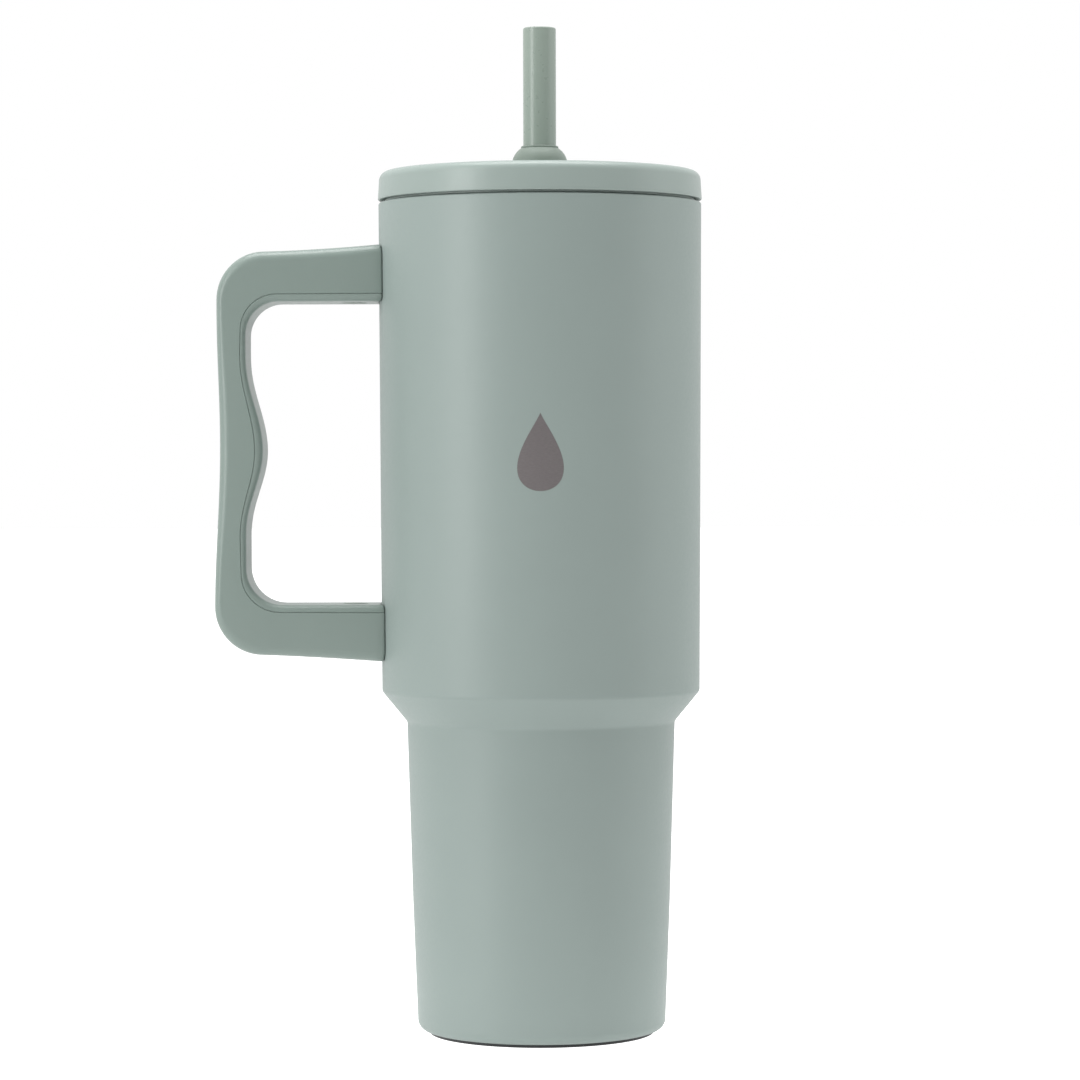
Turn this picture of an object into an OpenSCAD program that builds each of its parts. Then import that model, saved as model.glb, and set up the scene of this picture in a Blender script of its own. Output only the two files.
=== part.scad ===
// Insulated tumbler: double-walled steel cup, press-in straw lid and a screwed-on side handle.
// Z is up. The origin is the centre of the face it rests on. The handle is on the -X side.

/* [Cup] */
// Outer radius of the cup at its mouth
rim_r = 49.1; // [47:0.1:51]
// Height of the rim above the table
rim_z = 252.8; // [245:0.1:253.5]
// Outer radius just above the shoulder
shoulder_r = 48.4; // [46:0.1:48.6]
// Height of the shoulder's upper edge
shoulder_z = 104.4; // [101:0.1:107]
// Outer radius just below the shoulder
waist_r = 40.8; // [40:0.1:41.5]
// Height of the shoulder's lower edge
waist_z = 95.1; // [91:0.1:97]
// Outer radius part of the way down the lower section
shin_r = 39.2; // [38.6:0.1:39.6]
// Height at which that radius is reached
shin_z = 40.5; // [30:0.5:50]
// Outer radius at the foot, before it is rounded
foot_r = 37.7; // [37:0.1:38]
// Rounding of the foot
foot_round = 3.2; // [2:0.1:4]
// Rounding of the shoulder's two edges
shoulder_round = 2; // [0.5:0.1:3]
// Thickness of the steel sheet
steel_t = 0.6; // [0.4:0.05:0.8]
// Width of the vacuum gap between the two walls
vacuum_gap = 2.6; // [1.5:0.1:3]
// Height of the drinking space's floor
floor_z = 8.1; // [7.6:0.1:10]

/* [Foot] */
// Thickness of the silicone base pad
pad_t = 1; // [0.8:0.1:1.5]
// Radius of the silicone base pad
pad_r = 34.4; // [33.5:0.1:34.6]
// Radius of the recess in the foot
recess_r = 33; // [31:0.1:33.2]
// Height of the vacuum base's upper face
vacuum_base_z = 4; // [3.6:0.1:4.2]

/* [Lid] */
// Height of the lid's flat top
lid_top_z = 262.3; // [262:0.1:264]
// Outer radius of the lid's skirt at its lower edge
lid_r = 49.3; // [49.1:0.1:49.5]
// Height of the shadow gap between the rim and the skirt
seam_h = 0.8; // [0.4:0.1:1.2]
// Thickness of the lid's mouldings
lid_t = 2.2; // [1.6:0.1:2.4]
// Rounding of the lid's upper edge
lid_round = 2.8; // [1:0.1:3.2]
// Depth that the lid reaches into the mouth
plug_depth = 11.8; // [11:0.1:14]

/* [Straw] */
// Outer radius of the straw
straw_r = 5; // [4.5:0.1:5.5]
// Wall thickness of the straw
straw_t = 1.1; // [0.8:0.1:1.4]
// Height of the straw's tip
straw_top_z = 306; // [290:1:320]
// Gap left between the straw's foot and the floor
straw_foot_gap = 3; // [2:0.5:10]

/* [Handle] */
// Distance from the cup's axis to the grip's outer face, at its upper end
grip_out = 97.8; // [96:0.1:101]
// How much further out the grip's lower end is
grip_lean = 0.8; // [0:0.1:1.5]
// Distance from the cup's axis to the grip's inner face
grip_in = 88.9; // [87:0.1:89.5]
// How far the finger bump stands out of the inner face
bump_h = 5.1; // [2:0.1:6]
// Height of the finger bump's middle
bump_z = 177.7; // [171:0.1:183]
// How far the outer face dips behind the bump
waist_dip = 1.3; // [0:0.1:2]
// Height of the upper arm's underside
upper_in_z = 222.6; // [219:0.1:224]
// Height of the lower arm's top
lower_in_z = 131; // [129:0.1:134]
// Thickness of each arm at the grip
arm_t = 15.2; // [15:0.1:16]
// How much each arm flares towards the cup
arm_flare = 2.1; // [0:0.1:2.5]
// Depth of the handle from front to back
handle_d = 25.2; // [24:0.1:27]
// Rounding of the handle's long edges
handle_round = 3.2; // [2.5:0.1:3.4]
// Distance from the cup's axis to the handle screws
screw_x = 56.5; // [56.4:0.1:58]

/* [Hidden] */
$fn = 96;

sage = [0.61, 0.66, 0.63];
sage_dark = [0.53, 0.59, 0.56];
steel = [0.72, 0.72, 0.73];
copper = [0.76, 0.49, 0.36];
charcoal = [0.17, 0.18, 0.18];
clear_white = [0.86, 0.88, 0.87];
EPS = 0.01;

// Cup
wall_t = steel_t + vacuum_gap + steel_t;
rim_round = 1;
mouth_round = 1.5;
weld_r = rim_r - 1.7;
liner_round = 3;
liner_floor_round = 7;
foil_t = 0.15;
foil_top_z = rim_z - 12;
foil_bottom_z = floor_z + 12;

// Foot
dimple_r = 5.5;
dimple_h = 1;
vent_r = 0.8;
seal_r = 3.6;
getter_r = 4;
getter_h = 1.2;
clip_t = 0.3;
getter_x = 18;
cap_rim_h = 1.6;
groove_depth = 0.4;
groove_w = 1.6;
groove_radii = [22, 26, 30];

// Lid
skirt_t = 2.1;
skirt_z = rim_z + seam_h;
lid_rest_z = rim_z + 0.2;
lid_draft = 0.5;
plug_z = lid_rest_z - plug_depth;
plug_r = lid_r - 4.7;
plug_wall_r = lid_r - 8.3;
flange_t = 2.2;
groove_floor_r = plug_r - 1.7;
groove_z = plug_z + 3;
gasket_h = 4.3;
gasket_r = lid_r - 4.2;
gasket_lip = 0.7;
grommet_neck_r = 7;
grommet_r = 8.5;
grommet_dome_h = 7.8;
grommet_lip_t = 1.8;
straw_running_gap = 0.05;
straw_hole_r = straw_r + 0.9;
boss_r = 8.3;
vent_x = 30;
vent_tube_r = 4;
vent_bore_r = 2.2;
vent_pinhole_r = 1;
valve_flange_r = 3.6;

// Straw
straw_foot_z = floor_z + straw_foot_gap;
straw_edge_round = 0.45;

// Handle
outer_corner_r = 14.5;
upper_corner_r = 10;
lower_corner_r = 11;
handle_gap = 0.15;
handle_root_x = 44;
bump_up = 29;
bump_down = 26;
bump_sharpness = 1.1;
cover_t = 2.4;
cover_gap = 0.1;
cover_round = 2;
handle_wall = 2.6;
cavity_w = 15.6;
grip_steps = 22;
corner_steps = 6;
round_steps = 3;

// Handle fasteners, measured from the arm's inner face into the arm
plug_cap_r = 3.8;
plug_cap_h = 1.3;
plug_proud = 0.2;
screw_head_r = 3.5;
screw_head_h = 2.2;
screw_thread_r = 2;
socket_r = 1.5;
socket_depth = 1.2;
counterbore_gap = 0.05;
boss_wall = 1.8;
seat_t = 3;
tongue_t = 2;
tongue_w = 14;
tongue_end_x = 62;
saddle_t = 1.5;
saddle_h = 6.6;
nut_af = 7;
nut_h = 3.2;
head_top = plug_cap_h + screw_head_h;
tongue_z = head_top + seat_t;
nut_z = tongue_z + tongue_t;
screw_end = nut_z + nut_h + 0.4;

// ---- geometry helpers -------------------------------------------------------------------------

function unit(v) = v / norm(v);

function xy(p) = [p[0], p[1]];

// Points of the arc of radius r that rounds the corner b between a and c
function fillet(a, b, c, r, n) =
    let (
        u = unit(a - b),
        v = unit(c - b),
        half = acos(u * v) / 2,
        centre = b + unit(u + v) * r / sin(half),
        start = b + u * r / tan(half) - centre,
        end = b + v * r / tan(half) - centre,
        sweep = 180 - 2 * half
    )
    [for (i = [0:n]) centre + (sin(sweep * (n - i) / n) * start + sin(sweep * i / n) * end) / sin(sweep)];

// A path through corners [x, y, radius]; the first and last corner stay sharp
function rounded(corners, n = 6) = [
    for (i = [0:len(corners) - 1])
        each (i == 0 || i == len(corners) - 1 || corners[i][2] == 0)
            ? [xy(corners[i])]
            : fillet(xy(corners[i - 1]), xy(corners[i]), xy(corners[i + 1]), corners[i][2], n)
];

function left_normal(a, b) = let (d = unit(b - a)) [-d[1], d[0]];

// The same path moved sideways by t, to the left of its direction
function inset(path, t) = [
    for (i = [0:len(path) - 1])
        let (
            before = max(i - 1, 0),
            after = min(i, len(path) - 2),
            n0 = left_normal(path[before], path[before + 1]),
            n1 = left_normal(path[after], path[after + 1])
        )
        path[i] + t * (n0 + n1) / (1 + n0 * n1)
];

function reversed(path) = [for (i = [len(path) - 1:-1:0]) path[i]];

function at_height(a, b, z) = a + (b - a) * (z - a[1]) / (b[1] - a[1]);

// A sheet of thickness t, spun about Z, whose face is the path
module spun_sheet(path, t) {
    rotate_extrude()
        polygon(concat(path, reversed(inset(path, t))));
}

module spun(path) {
    rotate_extrude()
        polygon(path);
}

// ---- cup --------------------------------------------------------------------------------------

outer_path = rounded([
    [recess_r, pad_t, 0],
    [foot_r, pad_t, foot_round],
    [shin_r, shin_z, 0],
    [waist_r, waist_z, shoulder_round],
    [shoulder_r, shoulder_z, shoulder_round],
    [rim_r, rim_z, rim_round],
    [weld_r, rim_z, 0]
]);

inner_wall = inset([[foot_r, pad_t], [waist_r, waist_z], [shoulder_r, shoulder_z], [rim_r, rim_z]], wall_t);
wall_foot = at_height(inner_wall[0], inner_wall[1], floor_z);
wall_mouth = at_height(inner_wall[2], inner_wall[3], rim_z);

inner_path = rounded([
    [weld_r, rim_z, 0],
    [wall_mouth[0], rim_z, mouth_round],
    [inner_wall[2][0], inner_wall[2][1], liner_round],
    [inner_wall[1][0], inner_wall[1][1], liner_round],
    [wall_foot[0], floor_z, liner_floor_round],
    [0, floor_z, 0]
]);

foil_top = at_height(inner_wall[2], wall_mouth, foil_top_z);
foil_bottom = at_height(inner_wall[1], wall_foot, foil_bottom_z);
foil_path = inset(rounded([
    [foil_top[0], foil_top[1], 0],
    [inner_wall[2][0], inner_wall[2][1], liner_round],
    [inner_wall[1][0], inner_wall[1][1], liner_round],
    [foil_bottom[0], foil_bottom[1], 0]
]), steel_t);

// Powder-coated outer wall, folded in under the foot and at the rim
module outer_shell() {
    color(sage)
        spun_sheet(outer_path, steel_t);
}

// Bare steel inner cup, welded to the outer wall at the rim
module inner_liner() {
    color(steel)
        spun_sheet(inner_path, steel_t);
}

// Copper foil round the liner, which keeps radiant heat in
module radiation_foil() {
    color(copper)
        spun_sheet(foil_path, foil_t);
}

// Dished disc that closes the vacuum space, with the dimple it is pumped out through
module vacuum_base() {
    color(steel)
        spun_sheet(rounded([
            [recess_r, pad_t, 0],
            [recess_r, vacuum_base_z, 1.2],
            [dimple_r, vacuum_base_z, 0],
            [dimple_r - dimple_h, vacuum_base_z + dimple_h, 0],
            [vent_r, vacuum_base_z + dimple_h, 0]
        ]), steel_t);
}

// Glass bead melted into the dimple and its hole
module vacuum_seal() {
    dimple_z = vacuum_base_z + dimple_h - steel_t;
    color(charcoal)
        spun([
            [0, dimple_z - 0.7],
            [seal_r - 0.5, dimple_z - 0.7],
            [seal_r, dimple_z - 0.3],
            [seal_r, dimple_z],
            [vent_r, dimple_z],
            [vent_r, dimple_z + steel_t],
            [0, dimple_z + steel_t + 0.3]
        ]);
}

// Stamped cup, spot-welded to the vacuum base, that holds the getter
module getter_clip() {
    color(steel)
        translate([getter_x, 0, vacuum_base_z])
            difference() {
                cylinder(h = clip_t + getter_h, r = getter_r + clip_t);
                translate([0, 0, clip_t])
                    cylinder(h = getter_h + EPS, r = getter_r);
            }
}

// Getter pill that soaks up the gas left in the vacuum space
module getter() {
    color(charcoal)
        translate([getter_x, 0, vacuum_base_z + clip_t])
            cylinder(h = getter_h, r = getter_r);
}

// Trim disc pressed into the foot's recess
module base_cap() {
    cap_r = recess_r - steel_t;
    color(steel)
        spun_sheet(rounded([
            [cap_r, pad_t + cap_rim_h, 0],
            [cap_r, pad_t, 0.8],
            [0, pad_t, 0]
        ]), -steel_t);
}

// Non-slip silicone pad with three shallow rings in its underside
module base_pad() {
    color(charcoal)
        difference() {
            spun([[0, 0], [pad_r - 0.4, 0], [pad_r, 0.3], [pad_r, pad_t], [0, pad_t]]);
            for (r = groove_radii)
                rotate_extrude()
                    translate([r - groove_w / 2, -EPS])
                        square([groove_w, groove_depth + EPS]);
        }
}

// ---- handle -----------------------------------------------------------------------------------

upper_centre_out = [grip_out - outer_corner_r, upper_in_z + arm_t - outer_corner_r];
lower_centre_out = [grip_out + grip_lean - outer_corner_r, lower_in_z - arm_t + outer_corner_r];
upper_centre_in = [grip_in - upper_corner_r, upper_in_z - upper_corner_r];
lower_centre_in = [grip_in - lower_corner_r, lower_in_z + lower_corner_r];

// Height of the finger bump at height z, 0 to 1
function bump(z) =
    let (reach = z > bump_z ? bump_up : bump_down, d = min(abs(z - bump_z) / reach, 1))
    pow((1 + cos(180 * d)) / 2, bump_sharpness);

// Depth of the dip in the outer face for s from 0 at the top corner to 1 at the bottom one
function dip(s) = waist_dip * (1 - cos(360 * s)) / 2;

function on_circle(centre, r, a) = centre + r * [cos(a), sin(a)];

// Pairs of outer and inner points [distance from the axis, height] that the handle runs through
stations = concat(
    [for (x = [handle_root_x, upper_centre_in[0] - 12])
        let (flare = arm_flare * (1 - (x - handle_root_x) / (upper_centre_in[0] - 12 - handle_root_x)))
        [[x, upper_in_z + arm_t + flare], [x, upper_in_z]]],
    [for (i = [0:corner_steps])
        let (a = 90 - 90 * i / corner_steps)
        [on_circle(upper_centre_out, outer_corner_r, a), on_circle(upper_centre_in, upper_corner_r, a)]],
    [for (i = [1:grip_steps - 1])
        let (
            s = i / grip_steps,
            z_out = upper_centre_out[1] + (lower_centre_out[1] - upper_centre_out[1]) * s,
            z_in = upper_centre_in[1] + (lower_centre_in[1] - upper_centre_in[1]) * s
        )
        [[grip_out + grip_lean * s - dip(s), z_out], [grip_in - bump_h * bump(z_in), z_in]]],
    [for (i = [0:corner_steps])
        let (a = -90 * i / corner_steps)
        [on_circle(lower_centre_out, outer_corner_r, a), on_circle(lower_centre_in, lower_corner_r, a)]],
    [for (x = [lower_centre_in[0] - 12, handle_root_x])
        let (flare = arm_flare * (1 - (x - handle_root_x) / (lower_centre_in[0] - 12 - handle_root_x)))
        [[x, lower_in_z - arm_t - flare], [x, lower_in_z]]]
);

// Points of a section are [depth below the inner face, place across the handle].
// The quarter circle that rounds one of its corners starts at angle a and turns clockwise.
function section_corner(centre, a, r) = [
    for (i = [0:round_steps])
        on_circle(centre, r, a - 90 * i / round_steps)
];

// Channel with rounded outer edges, whose lips meet the cover
function channel_section(thick) =
    let (half = handle_d / 2, cavity = cavity_w / 2, web = thick - handle_wall)
    concat(
        [[cover_t, half]],
        section_corner([thick - handle_round, half - handle_round], 90, handle_round),
        section_corner([thick - handle_round, handle_round - half], 0, handle_round),
        [[cover_t, -half], [cover_t, -cavity], [web, -cavity], [web, cavity], [cover_t, cavity]]
    );

// Convex pieces, as lists of point numbers, that make up the channel's section
function channel_pieces() =
    let (
        arc_1 = 1,
        arc_2 = round_steps + 2,
        lip_2 = 2 * round_steps + 3,
        ledge_2 = lip_2 + 1,
        web_2 = lip_2 + 2,
        web_1 = lip_2 + 3,
        ledge_1 = lip_2 + 4
    )
    [
        [ledge_1, 0, arc_1, web_1],
        [web_1, for (i = [arc_1:arc_2 - 1]) i],
        [web_1, arc_2 - 1, arc_2, web_2],
        [web_2, for (i = [arc_2:lip_2 - 1]) i],
        [web_2, lip_2 - 1, lip_2, ledge_2]
    ];

// Bar with rounded inner edges, which closes the channel
function bar_section() =
    let (half = handle_d / 2, side = half - cover_round, depth = cover_t - cover_gap)
    concat(
        section_corner([cover_round, side], 180, cover_round),
        [[depth, half], [depth, -half]],
        section_corner([cover_round, -side], -90, cover_round)
    );

// One section of the handle placed in space
function placed(station, section) =
    let (dir = unit(station[0] - station[1]))
    [for (p = section)
        let (q = station[1] + dir * p[0])
        [-q[0], p[1], q[1]]];

// Solid through a row of sections; pieces are the convex parts that close its two ends
module swept(rings, pieces) {
    m = len(rings[0]);
    last = len(rings) - 1;
    polyhedron(
        points = [for (points = rings) each points],
        faces = concat(
            [for (piece = pieces) reversed(piece)],
            [for (i = [0:last - 1], j = [0:m - 1])
                let (a = i * m, b = a + m, k = (j + 1) % m)
                each [[a + j, b + k, b + j], [a + j, a + k, b + k]]],
            [for (piece = pieces) [for (j = piece) last * m + j]]
        )
    );
}

// The cup's upper wall as a plain cone, grown by a gap
module upper_wall(gap) {
    translate([0, 0, shoulder_z])
        cylinder(h = rim_z - shoulder_z, r1 = shoulder_r + gap, r2 = rim_r + gap, $fn = 192);
}

// Puts a part at each arm's screw, with +Z pointing from the arm's inner face into the arm
module at_upper_screw() {
    translate([-screw_x, 0, upper_in_z])
        children();
}

module at_lower_screw() {
    translate([-screw_x, 0, lower_in_z])
        mirror([0, 0, 1])
            children();
}

// Outer part of the handle: a channel that opens towards the fingers
module handle_shell() {
    color(sage_dark)
        difference() {
            swept(
                [for (s = stations) placed(s, channel_section(norm(s[0] - s[1])))],
                channel_pieces()
            );
            upper_wall(handle_gap);
        }
}

// Seat for a screw, standing on the cover's back, before it is bored
module screw_seat() {
    translate([0, 0, cover_t / 2])
        cylinder(h = tongue_z - cover_t / 2, r = plug_cap_r + boss_wall);
}

// Counterbore for the head and plug, and the screw's hole
module screw_bore() {
    translate([0, 0, -1])
        cylinder(h = head_top + 1, r = plug_cap_r + counterbore_gap);
    cylinder(h = tongue_z + 1, r = screw_thread_r + 0.15);
}

// Bar that closes the channel on the fingers' side, with a screw seat at each end
module handle_cover() {
    color(sage_dark)
        difference() {
            union() {
                swept(
                    [for (s = stations) placed(s, bar_section())],
                    [[for (i = [0:2 * round_steps + 3]) i]]
                );
                at_upper_screw() screw_seat();
                at_lower_screw() screw_seat();
            }
            at_upper_screw() screw_bore();
            at_lower_screw() screw_bore();
            upper_wall(handle_gap);
        }
}

// Steel saddle and tongue, welded to the cup's wall inside an arm
module bracket() {
    saddle_z = tongue_z + tongue_t / 2 - saddle_h / 2;
    difference() {
        union() {
            translate([screw_x - rim_r - saddle_t, -tongue_w / 2, saddle_z])
                cube([rim_r, tongue_w, saddle_h]);
            translate([screw_x - tongue_end_x, -tongue_w / 2, tongue_z])
                cube([tongue_end_x - rim_r, tongue_w, tongue_t]);
        }
        translate([0, 0, -1])
            cylinder(h = nut_z + 2, r = screw_thread_r + 0.15);
    }
}

module upper_bracket() {
    color(steel)
        difference() {
            at_upper_screw() bracket();
            upper_wall(0);
        }
}

module lower_bracket() {
    color(steel)
        difference() {
            at_lower_screw() bracket();
            upper_wall(0);
        }
}

// Hexagon nut, welded on the bracket's tongue
module nut() {
    translate([0, 0, nut_z])
        difference() {
            rotate([0, 0, 30])
                cylinder(h = nut_h, r = nut_af / sqrt(3), $fn = 6);
            translate([0, 0, -EPS])
                cylinder(h = nut_h + 2 * EPS, r = screw_thread_r);
        }
}

module bracket_nuts() {
    color(steel) {
        at_upper_screw() nut();
        at_lower_screw() nut();
    }
}

// Flat-headed machine screw with a hexagon socket
module handle_screw() {
    difference() {
        translate([0, 0, plug_cap_h])
            cylinder(h = screw_head_h, r = screw_head_r);
        translate([0, 0, plug_cap_h - EPS])
            cylinder(h = socket_depth + EPS, r = socket_r, $fn = 6);
    }
    translate([0, 0, head_top])
        cylinder(h = screw_end - head_top, r = screw_thread_r);
}

module handle_screws() {
    color(steel) {
        at_upper_screw() handle_screw();
        at_lower_screw() handle_screw();
    }
}

// Silicone cap that hides a screw, a little proud of the cover
module screw_plug() {
    spun([
        [0, -plug_proud],
        [plug_cap_r - 0.4, -plug_proud],
        [plug_cap_r, 0.2],
        [plug_cap_r, plug_cap_h],
        [0, plug_cap_h]
    ]);
}

module screw_plugs() {
    color(sage_dark) {
        at_upper_screw() screw_plug();
        at_lower_screw() screw_plug();
    }
}

// ---- lid --------------------------------------------------------------------------------------

// Flat top and skirt
module lid_cover() {
    color(sage)
        difference() {
            spun(rounded([
                [grommet_neck_r, lid_top_z, 0],
                [grommet_neck_r, lid_top_z - lid_t, 0],
                [lid_r - skirt_t, lid_top_z - lid_t, 1],
                [lid_r - skirt_t, skirt_z, 0.4],
                [lid_r, skirt_z, 0.5],
                [lid_r - lid_draft, lid_top_z, lid_round],
                [grommet_neck_r, lid_top_z, 0]
            ]));
            translate([vent_x, 0, lid_top_z - lid_t - 1])
                cylinder(h = lid_t + 2, r = vent_pinhole_r);
        }
}

// Lower moulding: the plug that enters the mouth, the gasket's groove and the straw's passage
module lid_base() {
    top_z = lid_top_z - lid_t;
    flange_r = lid_r - skirt_t - 0.05;
    color(clear_white)
        difference() {
            union() {
                spun(rounded([
                    [straw_hole_r, plug_z, 0],
                    [plug_r, plug_z, 0.8],
                    [plug_r, groove_z, 0],
                    [groove_floor_r, groove_z, 0],
                    [groove_floor_r, groove_z + gasket_h + 0.2, 0],
                    [plug_r, groove_z + gasket_h + 0.2, 0],
                    [plug_r, lid_rest_z, 0],
                    [flange_r, lid_rest_z, 0],
                    [flange_r, lid_rest_z + flange_t, 0],
                    [plug_wall_r + lid_t, lid_rest_z + flange_t, 0],
                    [plug_wall_r + lid_t, top_z, 0],
                    [plug_wall_r, top_z, 0],
                    [plug_wall_r, plug_z + lid_t, 0],
                    [boss_r, plug_z + lid_t, 0],
                    [boss_r, top_z - 4, 0],
                    [straw_hole_r, top_z - 4, 0]
                ], 4));
                translate([vent_x, 0, plug_z])
                    cylinder(h = top_z - plug_z, r = vent_tube_r);
            }
            translate([vent_x, 0, plug_z - 1])
                cylinder(h = top_z - plug_z + 2, r = vent_bore_r);
        }
}

// Silicone ring with two lips that wipe the mouth
module lid_gasket() {
    body_r = gasket_r - gasket_lip;
    base_z = groove_z + 0.1;
    color(charcoal)
        spun([
            [groove_floor_r, base_z],
            [body_r, base_z],
            [gasket_r, base_z + 0.9],
            [gasket_r, base_z + 1.3],
            [body_r, base_z + 1.7],
            [body_r, base_z + 2.4],
            [gasket_r, base_z + 3.2],
            [gasket_r, base_z + 3.6],
            [body_r, base_z + gasket_h],
            [groove_floor_r, base_z + gasket_h]
        ]);
}

// Silicone grommet: a dome on the lid, a neck through it and a lip under it
module straw_grommet() {
    bore_r = straw_r + straw_running_gap;
    neck_z = lid_top_z - lid_t;
    color(sage_dark)
        spun(rounded([
            [bore_r, neck_z - 3, 0],
            [grommet_r - 1.2, neck_z - 3, 0.6],
            [grommet_r - 0.3, neck_z, 0],
            [grommet_neck_r, neck_z, 0],
            [grommet_neck_r, lid_top_z, 0],
            [grommet_r - 0.3, lid_top_z, 0],
            [grommet_r, lid_top_z + 2, 0],
            [grommet_r - 1, lid_top_z + grommet_dome_h - 1, 3],
            [bore_r + 0.8, lid_top_z + grommet_dome_h, 0.5],
            [bore_r, lid_top_z + grommet_dome_h, 0]
        ]));
}

// Silicone air valve in the lid's underside, which lets air in as you drink
module vent_valve() {
    color(charcoal)
        translate([vent_x, 0, plug_z])
            difference() {
                union() {
                    translate([0, 0, -1])
                        cylinder(h = 1, r = valve_flange_r);
                    cylinder(h = 3.5, r = vent_bore_r);
                }
                translate([0, 0, -2])
                    cylinder(h = 7, r = 0.7);
            }
}

// ---- straw ------------------------------------------------------------------------------------

// Rigid straw with rounded ends
module straw() {
    mid_r = straw_r - straw_t / 2;
    color(sage)
        spun(rounded([
            [mid_r, straw_foot_z, 0],
            [straw_r, straw_foot_z, straw_edge_round],
            [straw_r, straw_top_z, straw_edge_round],
            [straw_r - straw_t, straw_top_z, straw_edge_round],
            [straw_r - straw_t, straw_foot_z, straw_edge_round],
            [mid_r, straw_foot_z, 0]
        ], 4));
}

outer_shell();
inner_liner();
radiation_foil();
vacuum_base();
getter_clip();
getter();
vacuum_seal();
base_cap();
base_pad();
upper_bracket();
lower_bracket();
bracket_nuts();
handle_shell();
handle_cover();
handle_screws();
screw_plugs();
lid_cover();
lid_base();
lid_gasket();
straw_grommet();
vent_valve();
straw();
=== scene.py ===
"""Looks of the insulated tumbler: lathed cup, lid and straw, a swept handle, and a soft white studio."""
import math

import bpy
from mathutils import Matrix, Vector


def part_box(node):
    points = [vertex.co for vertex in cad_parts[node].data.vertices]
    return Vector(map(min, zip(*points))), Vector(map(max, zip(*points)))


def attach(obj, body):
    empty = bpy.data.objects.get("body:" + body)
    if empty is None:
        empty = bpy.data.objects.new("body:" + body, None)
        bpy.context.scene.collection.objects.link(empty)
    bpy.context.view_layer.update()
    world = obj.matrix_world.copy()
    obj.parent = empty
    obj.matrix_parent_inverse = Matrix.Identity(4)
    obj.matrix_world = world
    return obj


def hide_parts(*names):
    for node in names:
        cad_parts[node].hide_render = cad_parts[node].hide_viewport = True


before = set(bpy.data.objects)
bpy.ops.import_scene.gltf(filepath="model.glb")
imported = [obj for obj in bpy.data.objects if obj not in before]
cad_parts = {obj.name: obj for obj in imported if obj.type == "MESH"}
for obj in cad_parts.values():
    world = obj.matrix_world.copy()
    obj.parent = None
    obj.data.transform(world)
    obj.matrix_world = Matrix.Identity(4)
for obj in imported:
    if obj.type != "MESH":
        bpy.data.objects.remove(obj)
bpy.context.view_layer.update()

MM = 0.001
SHARP_ANGLE = math.radians(32)

# ---- sizes, in millimetres --------------------------------------------------------------------


def extent(node):
    """Outer radius, lowest and highest point of a round CAD node."""
    low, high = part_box(node)
    return max(high.x, high.y) / MM, low.z / MM, high.z / MM


RIM_R, _, RIM_Z = extent("outer_shell")
LID_R, SKIRT_Z, LID_TOP_Z = extent("lid_cover")
STRAW_R, STRAW_FOOT_Z, STRAW_TOP_Z = extent("straw")
PAD_R, _, PAD_TOP_Z = extent("base_pad")
GROMMET_R, GROMMET_FOOT_Z, GROMMET_TOP_Z = extent("straw_grommet")
GASKET_R, GASKET_Z, GASKET_TOP_Z = extent("lid_gasket")
FLANGE_R, PLUG_Z, LID_BASE_TOP_Z = extent("lid_base")
_, FLOOR_UNDER_Z, _ = extent("inner_liner")
CAP_R, CAP_Z, CAP_RIM_Z = extent("base_cap")

STEEL_T = 0.6
WALL_T = 3.8
RECESS_R = 33
FOOT_R = 37.7
SHIN = (39.2, 40.5)
WAIST = (40.8, 95.1)
SHOULDER = (48.4, 104.4)
FOOT_ROUND = 3.2
SHOULDER_ROUND = 2.0
WELD_R = RIM_R - 1.7
FLOOR_Z = FLOOR_UNDER_Z + STEEL_T

LID_T = 2.2
SKIRT_T = 2.1
LID_REST_Z = RIM_Z + 0.2
PLUG_R = LID_R - 4.7
PLUG_WALL_R = LID_R - 8.3
FLANGE_T = 2.2
GROOVE_FLOOR_R = PLUG_R - 1.7
GROOVE_CLEARANCE = 0.1
STRAW_HOLE_R = STRAW_R + 0.9
STRAW_BOSS_R = 8.3
STRAW_BOSS_DROP = 4
NECK_R = 7.0
DOME_R = 6.1
DOME_CENTRE_UP = 2.0
DOME_SWEEP = 68
VENT_X = 30
VENT_TUBE_R = 4.0
VENT_BORE_R = 2.2
PINHOLE_R = 1.0
VALVE_R = 3.6
VALVE_BORE_R = 0.7
STRAW_T = 1.1

GRIP_OUT = 97.8
GRIP_LEAN = 0.8
GRIP_IN = 88.9
BUMP_H = 5.1
BUMP_Z = 177.7
BUMP_UP = 29
BUMP_DOWN = 26
BUMP_SHARPNESS = 1.1
WAIST_DIP = 1.3
UPPER_IN_Z = 222.6
LOWER_IN_Z = 131
ARM_T = 15.2
ARM_FLARE = 2.1
OUTER_CORNER_R = 14.5
UPPER_CORNER_R = 10
LOWER_CORNER_R = 11
HANDLE_D = 25.2
HANDLE_ROUND = 3.2
HANDLE_WALL = 2.6
HANDLE_GAP = 0.15
COVER_T = 2.4
COVER_ROUND = 2
COVER_GAP = 0.06
SEAM_BEVEL = 0.2
CAVITY_W = 15.6
SCREW_X = 56.5
SCREW_HOLE_R = 2.15
SEAT_WALL = 1.8
SEAT_TOP = 6.5
HEAD_TOP = 3.5
PLUG_CAP_R = 3.8
PLUG_CAP_H = 1.3
PLUG_PROUD = 0.2

# ---- profiles ---------------------------------------------------------------------------------


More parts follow.
